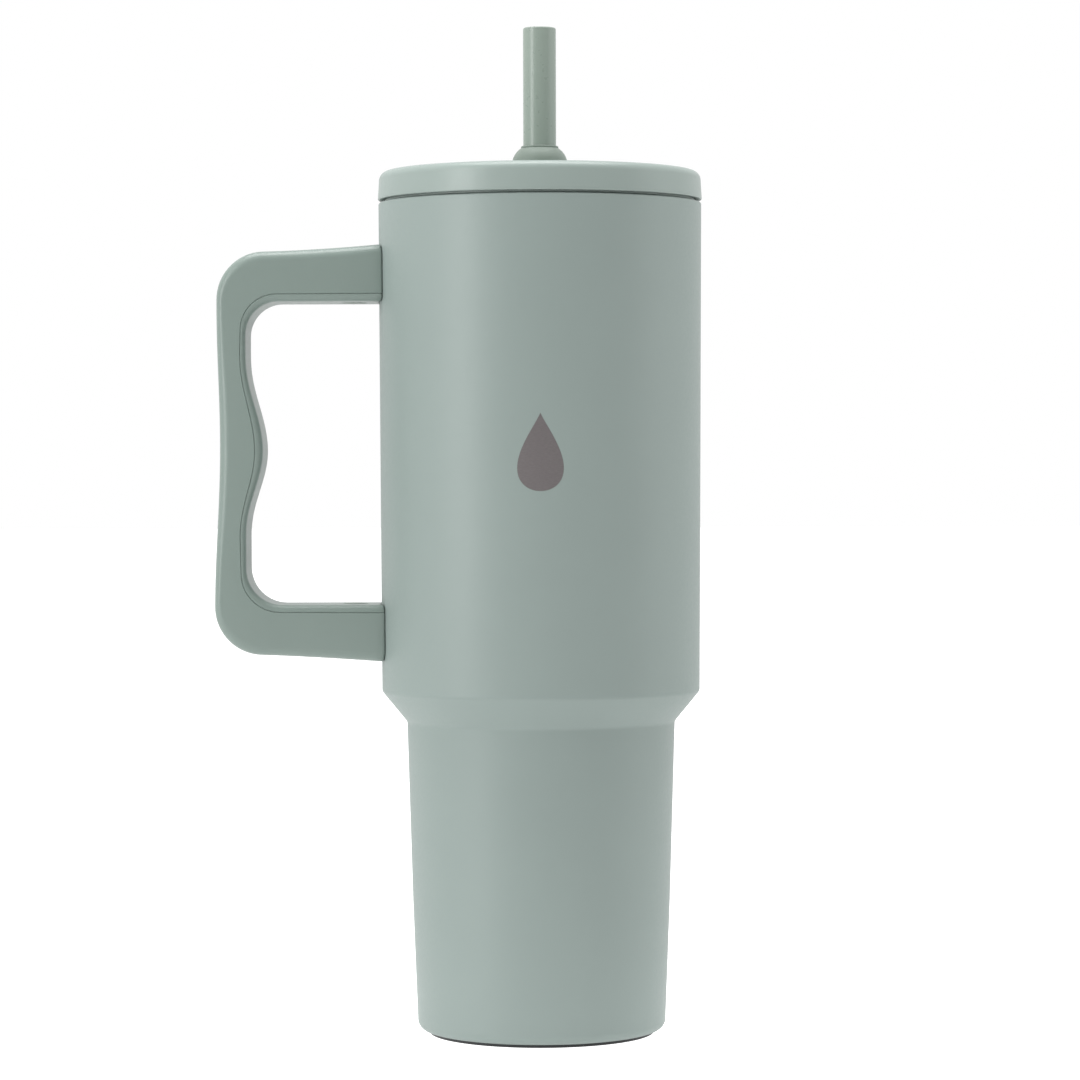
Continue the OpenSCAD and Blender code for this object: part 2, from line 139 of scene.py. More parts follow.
def fillet(a, b, c, radius, steps):
    """Points of the arc that rounds the corner b between a and c."""
    a, b, c = Vector(a[:2]), Vector(b[:2]), Vector(c[:2])
    u, v = (a - b).normalized(), (c - b).normalized()
    half = u.angle(v) / 2
    centre = b + (u + v).normalized() * radius / math.sin(half)
    start = b + u * radius / math.tan(half) - centre
    end = b + v * radius / math.tan(half) - centre
    sweep = math.pi - 2 * half
    points = []
    for i in range(steps + 1):
        s = i / steps
        turned = start * math.sin((1 - s) * sweep) + end * math.sin(s * sweep)
        points.append(centre + turned / math.sin(sweep))
    return points


def rounded(corners, steps=10):
    """A path through corners (r, z, radius); a corner without a radius stays sharp."""
    path = []
    for i, corner in enumerate(corners):
        if len(corner) < 3 or i in (0, len(corners) - 1):
            path.append(Vector(corner[:2]))
        else:
            path.extend(fillet(corners[i - 1], corner, corners[i + 1], corner[2], steps))
    return path


def rounded_loop(corners, steps=8):
    """A closed path through corners (r, z, radius)."""
    path = []
    for i, corner in enumerate(corners):
        if len(corner) < 3:
            path.append(Vector(corner[:2]))
        else:
            after = corners[(i + 1) % len(corners)]
            path.extend(fillet(corners[i - 1], corner, after, corner[2], steps))
    return path


def inset(path, distance):
    """The same path moved sideways, to the left of its direction."""
    normals = []
    for a, b in zip(path, path[1:]):
        d = (b - a).normalized()
        normals.append(Vector((-d.y, d.x)))
    moved = []
    for i, point in enumerate(path):
        n0 = normals[max(i - 1, 0)]
        n1 = normals[min(i, len(normals) - 1)]
        moved.append(point + (n0 + n1) * distance / (1 + n0.dot(n1)))
    return moved


def sheet(path, thickness):
    """Closed loop of a sheet whose face is the path."""
    return list(path) + inset(path, thickness)[::-1]


# ---- meshes -----------------------------------------------------------------------------------


def smooth(mesh):
    """Smooth shading, broken at the sharp edges."""
    mesh.polygons.foreach_set("use_smooth", [True] * len(mesh.polygons))
    mesh.set_sharp_from_angle(angle=SHARP_ANGLE)


def make_object(name, vertices, faces):
    """Object in the scene from vertices in metres and faces."""
    mesh = bpy.data.meshes.new(name)
    mesh.from_pydata([tuple(v) for v in vertices], [], faces)
    mesh.validate()
    smooth(mesh)
    mesh.update()
    obj = bpy.data.objects.new(name, mesh)
    bpy.context.scene.collection.objects.link(obj)
    return obj


def lathe(name, loop, segments=192, centre=(0, 0)):
    """Solid of revolution about Z through centre, from a closed loop of (r, z) in millimetres."""
    vertices, columns = [], []
    for point in loop:
        if point[0] < 1e-6:
            columns.append([len(vertices)] * segments)
            vertices.append((centre[0] * MM, centre[1] * MM, point[1] * MM))
            continue
        columns.append(list(range(len(vertices), len(vertices) + segments)))
        for k in range(segments):
            angle = math.tau * k / segments
            x = centre[0] + point[0] * math.cos(angle)
            y = centre[1] + point[0] * math.sin(angle)
            vertices.append((x * MM, y * MM, point[1] * MM))
    faces = []
    for i, column in enumerate(columns):
        after = columns[(i + 1) % len(columns)]
        for k in range(segments):
            n = (k + 1) % segments
            corners = (column[k], column[n], after[n], after[k])
            face = tuple(dict.fromkeys(corners))
            if len(face) > 2:
                faces.append(face)
    obj = make_object(name, vertices, faces)
    make_outward(obj)
    return obj


def make_outward(obj):
    """Turns every face of a closed mesh so that its volume is positive."""
    mesh = obj.data
    volume = 0
    mesh.calc_loop_triangles()
    for triangle in mesh.loop_triangles:
        a, b, c = (mesh.vertices[i].co for i in triangle.vertices)
        volume += a.dot(b.cross(c))
    if volume < 0:
        mesh.flip_normals()


def cylinder(name, centre, radius, low, high, segments=48):
    """Plain cutting or joining cylinder between two heights, in millimetres."""
    vertices = []
    for along in (low, high):
        for k in range(segments):
            angle = math.tau * k / segments
            x = centre[0] + radius * math.cos(angle)
            y = centre[1] + radius * math.sin(angle)
            vertices.append((x * MM, y * MM, along * MM))
    sides = []
    for k in range(segments):
        n = (k + 1) % segments
        sides.append((k, n, segments + n, segments + k))
    caps = [tuple(range(segments))[::-1], tuple(range(segments, 2 * segments))]
    obj = make_object(name, vertices, sides + caps)
    make_outward(obj)
    return obj


def combine(obj, tool, operation):
    """Joins or cuts obj with a closed tool, which is then removed."""
    modifier = obj.modifiers.new("combine", "BOOLEAN")
    modifier.operation = operation
    modifier.solver = "EXACT"
    modifier.object = tool
    graph = bpy.context.evaluated_depsgraph_get()
    mesh = bpy.data.meshes.new_from_object(obj.evaluated_get(graph))
    obj.modifiers.clear()
    obj.data = mesh
    smooth(mesh)
    bpy.data.objects.remove(tool)


def swept(name, rings, pairs):
    """Closed solid through rings of points; the ends close with quads between pairs of ring places."""
    count = len(rings[0])
    vertices = [[c * MM for c in point] for ring in rings for point in ring]
    faces = []
    for i in range(len(rings) - 1):
        for j in range(count):
            k = (j + 1) % count
            faces.append((i * count + j, i * count + k, (i + 1) * count + k, (i + 1) * count + j))
    last = (len(rings) - 1) * count
    for a, b in zip(pairs, pairs[1:]):
        faces.append((a[1], b[1], b[0], a[0]))
        faces.append(tuple(last + i for i in (a[0], b[0], b[1], a[1])))
    obj = make_object(name, vertices, faces)
    make_outward(obj)
    return obj


def place(obj, body, node, material):
    """Puts a finished piece on its body, in place of its CAD node."""
    obj.data.materials.clear()
    obj.data.materials.append(material)
    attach(obj, body)
    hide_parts(node)


# ---- materials --------------------------------------------------------------------------------

SAGE = (0.262, 0.317, 0.298)
SAGE_PLASTIC = (0.288, 0.346, 0.322)
SAGE_HANDLE = (0.218, 0.272, 0.247)
SAGE_STRAW = (0.270, 0.325, 0.283)
SAGE_SILICONE = (0.203, 0.250, 0.215)
CHARCOAL = (0.030, 0.032, 0.033)
STEEL = (0.68, 0.675, 0.67)
COPPER = (0.72, 0.40, 0.27)


class Surface:
    """A Principled material whose colour, roughness and relief come from procedural textures."""

    def __init__(self, name):
        self.material = bpy.data.materials.new(name)
        self.material.use_nodes = True
        self.nodes = self.material.node_tree.nodes
        self.links = self.material.node_tree.links
        self.shader = self.nodes["Principled BSDF"]
        self.coords = self.nodes.new("ShaderNodeTexCoord").outputs["Object"]

    def value(self, socket, value):
        self.shader.inputs[socket].default_value = value

    def noise(self, scale, detail=2.0, stretch=None):
        source = self.coords
        if stretch:
            mapping = self.nodes.new("ShaderNodeMapping")
            mapping.inputs["Scale"].default_value = stretch
            self.links.new(source, mapping.inputs["Vector"])
            source = mapping.outputs["Vector"]
        texture = self.nodes.new("ShaderNodeTexNoise")
        texture.inputs["Scale"].default_value = scale
        texture.inputs["Detail"].default_value = detail
        self.links.new(source, texture.inputs["Vector"])
        return texture.outputs["Fac"]

    def spread(self, source, low, high):
        """Maps a noise onto a range."""
        node = self.nodes.new("ShaderNodeMapRange")
        node.inputs["From Min"].default_value = 0.3
        node.inputs["From Max"].default_value = 0.7
        node.inputs["To Min"].default_value = low
        node.inputs["To Max"].default_value = high
        self.links.new(source, node.inputs["Value"])
        return node.outputs["Result"]

    def tint(self, source, color, amount):
        """Base colour that wanders a little darker and lighter round a colour."""
        ramp = self.nodes.new("ShaderNodeValToRGB")
        ramp.color_ramp.elements[0].position = 0.3
        ramp.color_ramp.elements[1].position = 0.7
        ramp.color_ramp.elements[0].color = [c * (1 - amount) for c in color] + [1]
        ramp.color_ramp.elements[1].color = [c * (1 + amount) for c in color] + [1]
        self.links.new(source, ramp.inputs["Fac"])
        self.links.new(ramp.outputs["Color"], self.shader.inputs["Base Color"])

    def roughness(self, source, low, high):
        self.links.new(self.spread(source, low, high), self.shader.inputs["Roughness"])

    def relief(self, source, distance, strength=1.0, under=None):
        bump = self.nodes.new("ShaderNodeBump")
        bump.inputs["Distance"].default_value = distance
        bump.inputs["Strength"].default_value = strength
        self.links.new(source, bump.inputs["Height"])
        if under:
            self.links.new(under, bump.inputs["Normal"])
        self.links.new(bump.outputs["Normal"], self.shader.inputs["Normal"])
        return bump.outputs["Normal"]


def powder_coat():
    """Fine-grained satin powder coat with a faint orange peel."""
    s = Surface("powder_coat_sage")
    s.tint(s.noise(38, 3), SAGE, 0.012)
    s.roughness(s.noise(900, 2), 0.40, 0.48)
    peel = s.relief(s.noise(420, 1), 0.000012)
    s.relief(s.noise(2600, 2), 0.000010, under=peel)
    s.value("IOR", 1.5)
    return s.material


def moulded_plastic(name, color, rough, depth=0.000010):
    """Satin injection-moulded plastic with a fine spark-eroded grain."""
    s = Surface(name)
    s.tint(s.noise(60, 2), color, 0.012)
    s.roughness(s.noise(700, 2), rough - 0.03, rough + 0.04)
    s.relief(s.noise(3200, 2), depth)
    s.value("IOR", 1.49)
    return s.material


def silicone(name, color, rough=0.55):
    """Soft matte silicone with a dusty sheen."""
    s = Surface(name)
    s.tint(s.noise(120, 2), color, 0.03)
    s.roughness(s.noise(1500, 2), rough - 0.05, rough + 0.06)
    s.relief(s.noise(3800, 2), 0.000008)
    s.value("IOR", 1.43)
    s.value("Sheen Weight", 0.15)
    s.value("Sheen Roughness", 0.5)
    return s.material


def brushed_steel(name, color=STEEL, rough=0.28):
    """Stainless steel polished on a lathe: fine rings round the axis."""
    s = Surface(name)
    s.value("Metallic", 1.0)
    rings = s.noise(60, 3, stretch=(1, 1, 60))
    s.tint(rings, color, 0.05)
    s.roughness(rings, rough - 0.06, rough + 0.08)
    s.relief(rings, 0.000006)
    return s.material


def copper_foil():
    """Bright foil with the fine creases of wrapping."""
    s = Surface("copper_foil")
    s.value("Metallic", 1.0)
    s.tint(s.noise(90, 3), COPPER, 0.06)
    s.roughness(s.noise(240, 3), 0.18, 0.34)
    s.relief(s.noise(160, 4), 0.00004)
    return s.material


def etched_steel():
    """Bare metal under a laser-etched mark: warm grey, with the laser's fine hatching."""
    s = Surface("etched_steel")
    s.value("Metallic", 0.85)
    s.tint(s.noise(900, 2, stretch=(1, 1, 6)), (0.215, 0.197, 0.198), 0.05)
    s.roughness(s.noise(1600, 2), 0.38, 0.50)
    s.relief(s.noise(2400, 2, stretch=(1, 1, 5)), 0.000006)
    return s.material


def sintered(name, color, rough):
    """Pressed dark grain, for the getter pill and the fused bead."""
    s = Surface(name)
    s.tint(s.noise(1200, 3), color, 0.2)
    s.roughness(s.noise(2200, 2), rough - 0.1, rough + 0.1)
    s.relief(s.noise(2600, 3), 0.00002)
    return s.material


POWDER = powder_coat()
LID_PLASTIC = moulded_plastic("lid_plastic_sage", SAGE_PLASTIC, 0.36)
LID_INNER = moulded_plastic("lid_inner_sage", SAGE_PLASTIC, 0.42)
HANDLE_PLASTIC = moulded_plastic("handle_plastic_sage", SAGE_HANDLE, 0.34)
STRAW_PLASTIC = moulded_plastic("straw_plastic_sage", SAGE_STRAW, 0.30, depth=0.0000025)
GROMMET_SILICONE = silicone("silicone_sage", SAGE_SILICONE, 0.5)
DARK_SILICONE = silicone("silicone_charcoal", CHARCOAL)
BARE_STEEL = brushed_steel("bare_steel")
FASTENER_STEEL = brushed_steel("fastener_steel", rough=0.36)
FOIL = copper_foil()
ETCHED = etched_steel()
GETTER = sintered("getter_metal", (0.09, 0.09, 0.09), 0.6)
BEAD = sintered("seal_glass", (0.05, 0.055, 0.06), 0.2)

# ---- cup --------------------------------------------------------------------------------------


def make_outer_shell():
    path = rounded([
        (RECESS_R, PAD_TOP_Z),
        (FOOT_R, PAD_TOP_Z, FOOT_ROUND),
        (*SHIN, 200),
        (*WAIST, SHOULDER_ROUND),
        (*SHOULDER, SHOULDER_ROUND),
        (RIM_R, RIM_Z, 0.7),
        (WELD_R, RIM_Z),
    ], 12)
    return lathe("shell", sheet(path, STEEL_T), 256)


def make_inner_liner():
    wall = inset([Vector(p) for p in ((FOOT_R, PAD_TOP_Z), WAIST, SHOULDER, (RIM_R, RIM_Z))], WALL_T)
    slope = (wall[1].x - wall[0].x) / (wall[1].y - wall[0].y)
    foot_r = wall[0].x + slope * (FLOOR_Z - wall[0].y)
    mouth_slope = (wall[3].x - wall[2].x) / (wall[3].y - wall[2].y)
    mouth_r = wall[2].x + mouth_slope * (RIM_Z - wall[2].y)
    path = rounded([
        (WELD_R, RIM_Z),
        (mouth_r, RIM_Z, 1.5),
        (wall[2].x, wall[2].y, 3),
        (wall[1].x, wall[1].y, 3),
        (foot_r, FLOOR_Z, 7),
        (0, FLOOR_Z),
    ], 12)
    return lathe("liner", sheet(path, STEEL_T), 192)


def make_base_pad():
    groove, depth = 0.8, 0.4
    corners = [(0, 0)]
    for r in (22, 26, 30):
        corners += [(r - groove, 0), (r - groove, depth), (r + groove, depth), (r + groove, 0)]
    corners += [(PAD_R - 0.1, 0, 0.35), (PAD_R, PAD_TOP_Z, 0.2), (0, PAD_TOP_Z)]
    return lathe("pad", rounded_loop(corners, 4), 160)


def make_base_cap():
    path = rounded([(CAP_R, CAP_RIM_Z), (CAP_R, CAP_Z, 0.8), (0, CAP_Z)])
    return lathe("cap", sheet(path, -STEEL_T), 160)


def cup_radius(z):
    """Outer radius of the cup's upper wall at a height."""
    return SHOULDER[0] + (RIM_R - SHOULDER[0]) * (z - SHOULDER[1]) / (RIM_Z - SHOULDER[1])


def make_emblem():
    """Flush water-drop emblem on the cup's front."""
    middle_z, half_h, half_w = 177, 11.5, 9.6
    lift, sink = 0.03, 0.12
    around, layers = 96, 10
    outline = []
    for k in range(around):
        t = math.tau * k / around
        outline.append((half_w * math.sin(t) * math.sin(t / 2) ** 1.4, half_h * math.cos(t)))
    heart_z = -0.25 * half_h

    def on_wall(x, z, out):
        r = cup_radius(middle_z + z) + out
        angle = x / r - math.pi / 2
        return (r * math.cos(angle) * MM, r * math.sin(angle) * MM, (middle_z + z) * MM)

    vertices, faces = [], []
    for out in (lift, -sink):
        start = len(vertices)
        vertices.append(on_wall(0, heart_z, out))
        for layer in range(1, layers + 1):
            s = layer / layers
            for x, z in outline:
                vertices.append(on_wall(x * s, heart_z + (z - heart_z) * s, out))
        for k in range(around):
            n = (k + 1) % around
            faces.append((start, start + 1 + k, start + 1 + n))
            for layer in range(layers - 1):
                a = start + 1 + layer * around
                faces.append((a + k, a + around + k, a + around + n, a + n))
    rim = 1 + (layers - 1) * around
    half = len(vertices) // 2
    flip = len(faces) // 2
    faces = faces[:flip] + [face[::-1] for face in faces[flip:]]
    for k in range(around):
        n = (k + 1) % around
        faces.append((rim + k, half + rim + k, half + rim + n, rim + n))
    obj = make_object("emblem", vertices, faces)
    make_outward(obj)
    obj.data.materials.append(ETCHED)
    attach(obj, "tumbler")


# ---- handle -----------------------------------------------------------------------------------

UPPER_OUT = Vector((GRIP_OUT - OUTER_CORNER_R, UPPER_IN_Z + ARM_T - OUTER_CORNER_R))
LOWER_OUT = Vector((GRIP_OUT + GRIP_LEAN - OUTER_CORNER_R, LOWER_IN_Z - ARM_T + OUTER_CORNER_R))
UPPER_IN = Vector((GRIP_IN - UPPER_CORNER_R, UPPER_IN_Z - UPPER_CORNER_R))
LOWER_IN = Vector((GRIP_IN - LOWER_CORNER_R, LOWER_IN_Z + LOWER_CORNER_R))


def on_circle(centre, radius, degrees):
    a = math.radians(degrees)
    return centre + Vector((math.cos(a), math.sin(a))) * radius


def bump(z):
    """Height of the finger bump, 0 to 1."""
    reach = BUMP_UP if z > BUMP_Z else BUMP_DOWN
    d = min(abs(z - BUMP_Z) / reach, 1)
    return ((1 + math.cos(math.pi * d)) / 2) ** BUMP_SHARPNESS


def stations(corner_steps=20, grip_steps=90):
    """Pairs of outer and inner points (distance from the axis, height), between the two arms' corners."""
    pairs = []
    for i in range(corner_steps + 1):
        a = 90 - 90 * i / corner_steps
        pairs.append((on_circle(UPPER_OUT, OUTER_CORNER_R, a), on_circle(UPPER_IN, UPPER_CORNER_R, a)))
    for i in range(1, grip_steps):
        s = i / grip_steps
        z_out = UPPER_OUT.y + (LOWER_OUT.y - UPPER_OUT.y) * s
        z_in = UPPER_IN.y + (LOWER_IN.y - UPPER_IN.y) * s
        dip = WAIST_DIP * (1 - math.cos(math.tau * s)) / 2
        outer = Vector((GRIP_OUT + GRIP_LEAN * s - dip, z_out))
        inner = Vector((GRIP_IN - BUMP_H * bump(z_in), z_in))
        pairs.append((outer, inner))
    for i in range(corner_steps + 1):
        a = -90 * i / corner_steps
        pairs.append((on_circle(LOWER_OUT, OUTER_CORNER_R, a), on_circle(LOWER_IN, LOWER_CORNER_R, a)))
    return pairs


def mirrored(section):
    """The pairs of one side, then the same across the handle's middle."""
    return [tuple((depth, -across) for depth, across in pair) for pair in reversed(section)]


def channel_section(thick, shrink=0.0, steps=8, across=14):
    """Pairs of outer and inner points (depth, across) of the handle's outer channel, from lip to lip."""
    half, high = HANDLE_D / 2 - shrink, thick - shrink
    cavity, web = CAVITY_W / 2, thick - HANDLE_WALL
    r = HANDLE_ROUND
    side = [
        ((COVER_T, half - SEAM_BEVEL), (COVER_T, cavity + 1)),
        ((COVER_T + SEAM_BEVEL, half), (COVER_T, cavity)),
    ]
    for i in range(steps + 1):
        a = math.radians(90 - 90 * i / steps)
        arc = (high - r + r * math.cos(a), half - r + r * math.sin(a))
        side.append((arc, (web - 1 + math.cos(a), cavity - 1 + math.sin(a))))
    middle = []
    for i in range(1, across):
        s = 1 - 2 * i / across
        middle.append(((high, (half - r) * s), (web, (cavity - 1) * s)))
    return side + middle + mirrored(side)


def bar_section(shrink=0.0, steps=8, across=14):
    """Pairs of visible and hidden points (depth, across) of the bar that closes the channel."""
    half, low, back = HANDLE_D / 2 - shrink, shrink, COVER_T - COVER_GAP
    r = COVER_ROUND
    hidden = half - 1
    side = [
        ((back, half - SEAM_BEVEL), (back, hidden)),
        ((back - SEAM_BEVEL, half), (back, hidden - 0.4)),
    ]
    for i in range(steps + 1):
        a = math.radians(90 + 90 * i / steps)
        arc = (low + r + r * math.cos(a), half - r + r * math.sin(a))
        side.append((arc, (back, hidden - 0.8 - (r - 1) * i / steps)))
    edge = side[-1][1][1]
    middle = []
    for i in range(1, across):
        s = 1 - 2 * i / across
        middle.append(((low, (half - r) * s), (back, edge * s)))
    return side + middle + mirrored(side)


def ring_points(section):
    """One closed ring from section pairs, and the ring's index of each pair."""
    outer = [pair[0] for pair in section]
    inner = [pair[1] for pair in section]
    count = len(section)
    pairs = [(i, 2 * count - 1 - i) for i in range(count)]
    return outer + inner[::-1], pairs


def placed(station, ring):
    """Ring points in space at one station of the handle."""
    direction = (station[0] - station[1]).normalized()
    points = []
    for depth, across in ring:
        q = station[1] + direction * depth
        points.append(Vector((-q.x, across, q.y)))
    return points


def at_wall(ring, inner_z, sign):
    """Ring points laid on the cup's wall, at an arm's root."""
    points = []
    for depth, across in ring:
        z = inner_z + sign * depth
        r = cup_radius(z) + HANDLE_GAP
        points.append(Vector((-math.sqrt(r * r - across * across), across, z)))
    return points


# Share of an arm's length, and how far the section draws in there to round the root's edge
ROOT_STEPS = [(0.0, 0.45), (0.004, 0.24), (0.010, 0.10), (0.020, 0.0)] + [(i / 12, 0.0) for i in range(1, 12)]
# How quickly an arm's flare grows towards its root
FLARE_EASE = 1.7


def handle_rings(section_at):
    """Rings of a piece that runs the whole handle; section_at(thickness, shrink) gives its section."""
    pairs = stations()
    rings = []

    def arm(station, inner_z, sign):
        slim = (station[0] - station[1]).length
        made = []
        for share, shrink in ROOT_STEPS:
            thick = slim + (ARM_T + ARM_FLARE - slim) * (1 - share) ** FLARE_EASE
            ring, _ = ring_points(section_at(thick, shrink))
            root, corner = at_wall(ring, inner_z, sign), placed(station, ring)
            made.append([a.lerp(b, share) for a, b in zip(root, corner)])
        return made

    rings += arm(pairs[0], UPPER_IN_Z, 1)
    for station in pairs:
        ring, _ = ring_points(section_at((station[0] - station[1]).length, 0.0))
        rings.append(placed(station, ring))
    rings += arm(pairs[-1], LOWER_IN_Z, -1)[::-1]
    _, caps = ring_points(section_at(ARM_T, 0.0))
    return rings, caps


def make_handle_shell():
    rings, caps = handle_rings(channel_section)
    return swept("handle", rings, caps)


def make_handle_cover():
    rings, caps = handle_rings(lambda thick, shrink: bar_section(shrink))
    obj = swept("handle_bar", rings, caps)
    for inner_z, sign in ((UPPER_IN_Z, 1), (LOWER_IN_Z, -1)):
        def span(a, b):
            return sorted((inner_z + sign * a, inner_z + sign * b))
        centre = (-SCREW_X, 0)
        seat = cylinder("seat", centre, PLUG_CAP_R + SEAT_WALL, *span(COVER_T / 2, SEAT_TOP))
        counterbore = cylinder("counterbore", centre, PLUG_CAP_R + 0.12, *span(-1, HEAD_TOP))
        hole = cylinder("hole", centre, SCREW_HOLE_R, *span(HEAD_TOP - 0.5, SEAT_TOP + 1.5))
        combine(obj, seat, "UNION")
        combine(obj, counterbore, "DIFFERENCE")
        combine(obj, hole, "DIFFERENCE")
    return obj


def make_screw_plugs():
    """Two domed silicone caps with a small dimple, joined as one piece of two solids."""
    made = []
    for inner_z, sign in ((UPPER_IN_Z, -1), (LOWER_IN_Z, 1)):
        top, foot = inner_z + sign * PLUG_PROUD, inner_z - sign * PLUG_CAP_H
        loop = rounded_loop([
            (0, foot), (PLUG_CAP_R, foot), (PLUG_CAP_R, inner_z, 0.3), (PLUG_CAP_R - 0.5, top, 0.4),
            (1.2, top, 0.5), (0, top - sign * 0.25),
        ], 4)
        made.append(lathe("plug", loop, 64, (-SCREW_X, 0)))
    return join(made, "plugs")


def join(objects, name):
    """One object that holds the given objects' meshes."""
    vertices, faces = [], []
    for obj in objects:
        start = len(vertices)
        vertices += [v.co.copy() for v in obj.data.vertices]
        faces += [tuple(start + i for i in p.vertices) for p in obj.data.polygons]
        bpy.data.objects.remove(obj)
    return make_object(name, vertices, faces)


# ---- lid --------------------------------------------------------------------------------------


def make_lid_cover():
    under_z = LID_TOP_Z - LID_T
    obj = lathe("lid_top", rounded_loop([
        (NECK_R, under_z),
        (LID_R - SKIRT_T, under_z, 1.0),
        (LID_R - SKIRT_T, SKIRT_Z, 0.4),
        (LID_R, SKIRT_Z, 0.35),
        (LID_R - 0.5, LID_TOP_Z, 2.8),
        (NECK_R, LID_TOP_Z, 0.3),
    ], 10), 256)
    combine(obj, cylinder("pinhole", (VENT_X, 0), PINHOLE_R, under_z - 1, LID_TOP_Z + 1), "DIFFERENCE")
    return obj


def make_lid_base():
    top = LID_BASE_TOP_Z
    groove_low, groove_high = GASKET_Z - GROOVE_CLEARANCE, GASKET_TOP_Z + GROOVE_CLEARANCE
    obj = lathe("lid_under", rounded_loop([
        (STRAW_HOLE_R, PLUG_Z, 0.4),
        (PLUG_R, PLUG_Z, 0.8),
        (PLUG_R, groove_low),
        (GROOVE_FLOOR_R, groove_low),
        (GROOVE_FLOOR_R, groove_high),
        (PLUG_R, groove_high),
        (PLUG_R, LID_REST_Z, 0.5),
        (FLANGE_R, LID_REST_Z, 0.3),
        (FLANGE_R, LID_REST_Z + FLANGE_T),
        (PLUG_WALL_R + LID_T, LID_REST_Z + FLANGE_T),
        (PLUG_WALL_R + LID_T, top),
        (PLUG_WALL_R, top),
        (PLUG_WALL_R, PLUG_Z + LID_T),
        (STRAW_BOSS_R, PLUG_Z + LID_T),
        (STRAW_BOSS_R, top - STRAW_BOSS_DROP),
        (STRAW_HOLE_R, top - STRAW_BOSS_DROP),
    ], 6), 192)
    combine(obj, cylinder("tube", (VENT_X, 0), VENT_TUBE_R, PLUG_Z + 1, top), "UNION")
    combine(obj, cylinder("bore", (VENT_X, 0), VENT_BORE_R, PLUG_Z - 1, top + 1), "DIFFERENCE")
    return obj


def make_lid_gasket():
    body_r, low = GASKET_R - 0.7, GASKET_Z
    return lathe("gasket", rounded_loop([
        (GROOVE_FLOOR_R, low),
        (body_r, low, 0.2),
        (GASKET_R, low + 0.9, 0.2),
        (GASKET_R, low + 1.3, 0.2),
        (body_r, low + 1.7, 0.2),
        (body_r, low + 2.4, 0.2),
        (GASKET_R, low + 3.2, 0.2),
        (GASKET_R, low + 3.6, 0.2),
        (body_r, GASKET_TOP_Z, 0.2),
        (GROOVE_FLOOR_R, GASKET_TOP_Z),
    ], 4), 192)


def make_straw_grommet():
    bore_r = STRAW_R + 0.05
    neck_z = LID_TOP_Z - LID_T
    dome_centre = Vector((GROMMET_R - DOME_R, LID_TOP_Z + DOME_CENTRE_UP))
    arc = [on_circle(dome_centre, DOME_R, DOME_SWEEP * i / 14) for i in range(13)]
    loop = rounded_loop([
        (bore_r, GROMMET_FOOT_Z),
        (GROMMET_R - 1.2, GROMMET_FOOT_Z, 0.6),
        (GROMMET_R - 0.3, neck_z),
        (NECK_R, neck_z),
        (NECK_R, LID_TOP_Z),
        (GROMMET_R - 0.25, LID_TOP_Z),
    ], 6)
    loop += arc
    loop += rounded([
        arc[-1],
        (bore_r + 0.9, GROMMET_TOP_Z, 0.35),
        (bore_r, GROMMET_TOP_Z, 0.2),
        (bore_r, GROMMET_TOP_Z - 1),
    ], 6)[1:]
    return lathe("grommet", loop, 128)


def make_vent_valve():
    low, high = PLUG_Z - 1.0, PLUG_Z + 3.5
    return lathe("valve", rounded_loop([
        (VALVE_BORE_R, low),
        (VALVE_R, low, 0.35),
        (VALVE_R, PLUG_Z, 0.15),
        (VENT_BORE_R, PLUG_Z),
        (VENT_BORE_R, high, 0.3),
        (VALVE_BORE_R, high),
    ], 5), 64, (VENT_X, 0))


def make_straw():
    inner_r = STRAW_R - STRAW_T
    return lathe("straw_tube", rounded_loop([
        (STRAW_R, STRAW_FOOT_Z, 0.45),
        (STRAW_R, STRAW_TOP_Z, 0.5),
        (inner_r, STRAW_TOP_Z, 0.5),
        (inner_r, STRAW_FOOT_Z, 0.45),
    ], 8), 96)


# ---- build ------------------------------------------------------------------------------------

place(make_outer_shell(), "tumbler", "outer_shell", POWDER)
place(make_inner_liner(), "tumbler", "inner_liner", BARE_STEEL)
place(make_base_pad(), "tumbler", "base_pad", DARK_SILICONE)
place(make_base_cap(), "tumbler", "base_cap", BARE_STEEL)
place(make_handle_shell(), "tumbler", "handle_shell", HANDLE_PLASTIC)
place(make_handle_cover(), "tumbler", "handle_cover", HANDLE_PLASTIC)
place(make_screw_plugs(), "tumbler", "screw_plugs", GROMMET_SILICONE)
place(make_lid_cover(), "lid", "lid_cover", LID_PLASTIC)
place(make_lid_base(), "lid", "lid_base", LID_INNER)
place(make_lid_gasket(), "lid", "lid_gasket", DARK_SILICONE)
place(make_straw_grommet(), "lid", "straw_grommet", GROMMET_SILICONE)
place(make_vent_valve(), "lid", "vent_valve", DARK_SILICONE)
place(make_straw(), "straw", "straw", STRAW_PLASTIC)
make_emblem()

CARRIED_OVER = {
    "radiation_foil": FOIL,
    "vacuum_base": BARE_STEEL,
    "getter_clip": FASTENER_STEEL,
    "getter": GETTER,
    "vacuum_seal": BEAD,
    "upper_bracket": FASTENER_STEEL,
    "lower_bracket": FASTENER_STEEL,
    "bracket_nuts": FASTENER_STEEL,
    "handle_screws": FASTENER_STEEL,
}
for node, material in CARRIED_OVER.items():
    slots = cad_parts[node].data.materials
    slots.clear()
    slots.append(material)

# ---- studio -----------------------------------------------------------------------------------

# Strength of the surroundings on the camera's side and behind the cup
WORLD_FRONT = 0.32
WORLD_BACK = 0.95
# Light the floor gives off everywhere, what it adds close to the foot, and what it adds where it is seen
FLOOR_GLOW = 0.27
FLOOR_NEAR = 0.44
FLOOR_SEEN = 0.6
FLOOR_GREY = (0.5, 0.5, 0.5)
FLOOR_R = 9.0
FLOOR_DROP = 0.00005
KEY_POWER = 8.5
FILL_POWER = 1.8
TOP_POWER = 83
LIGHT_TARGET = (0, 0, 0.16)


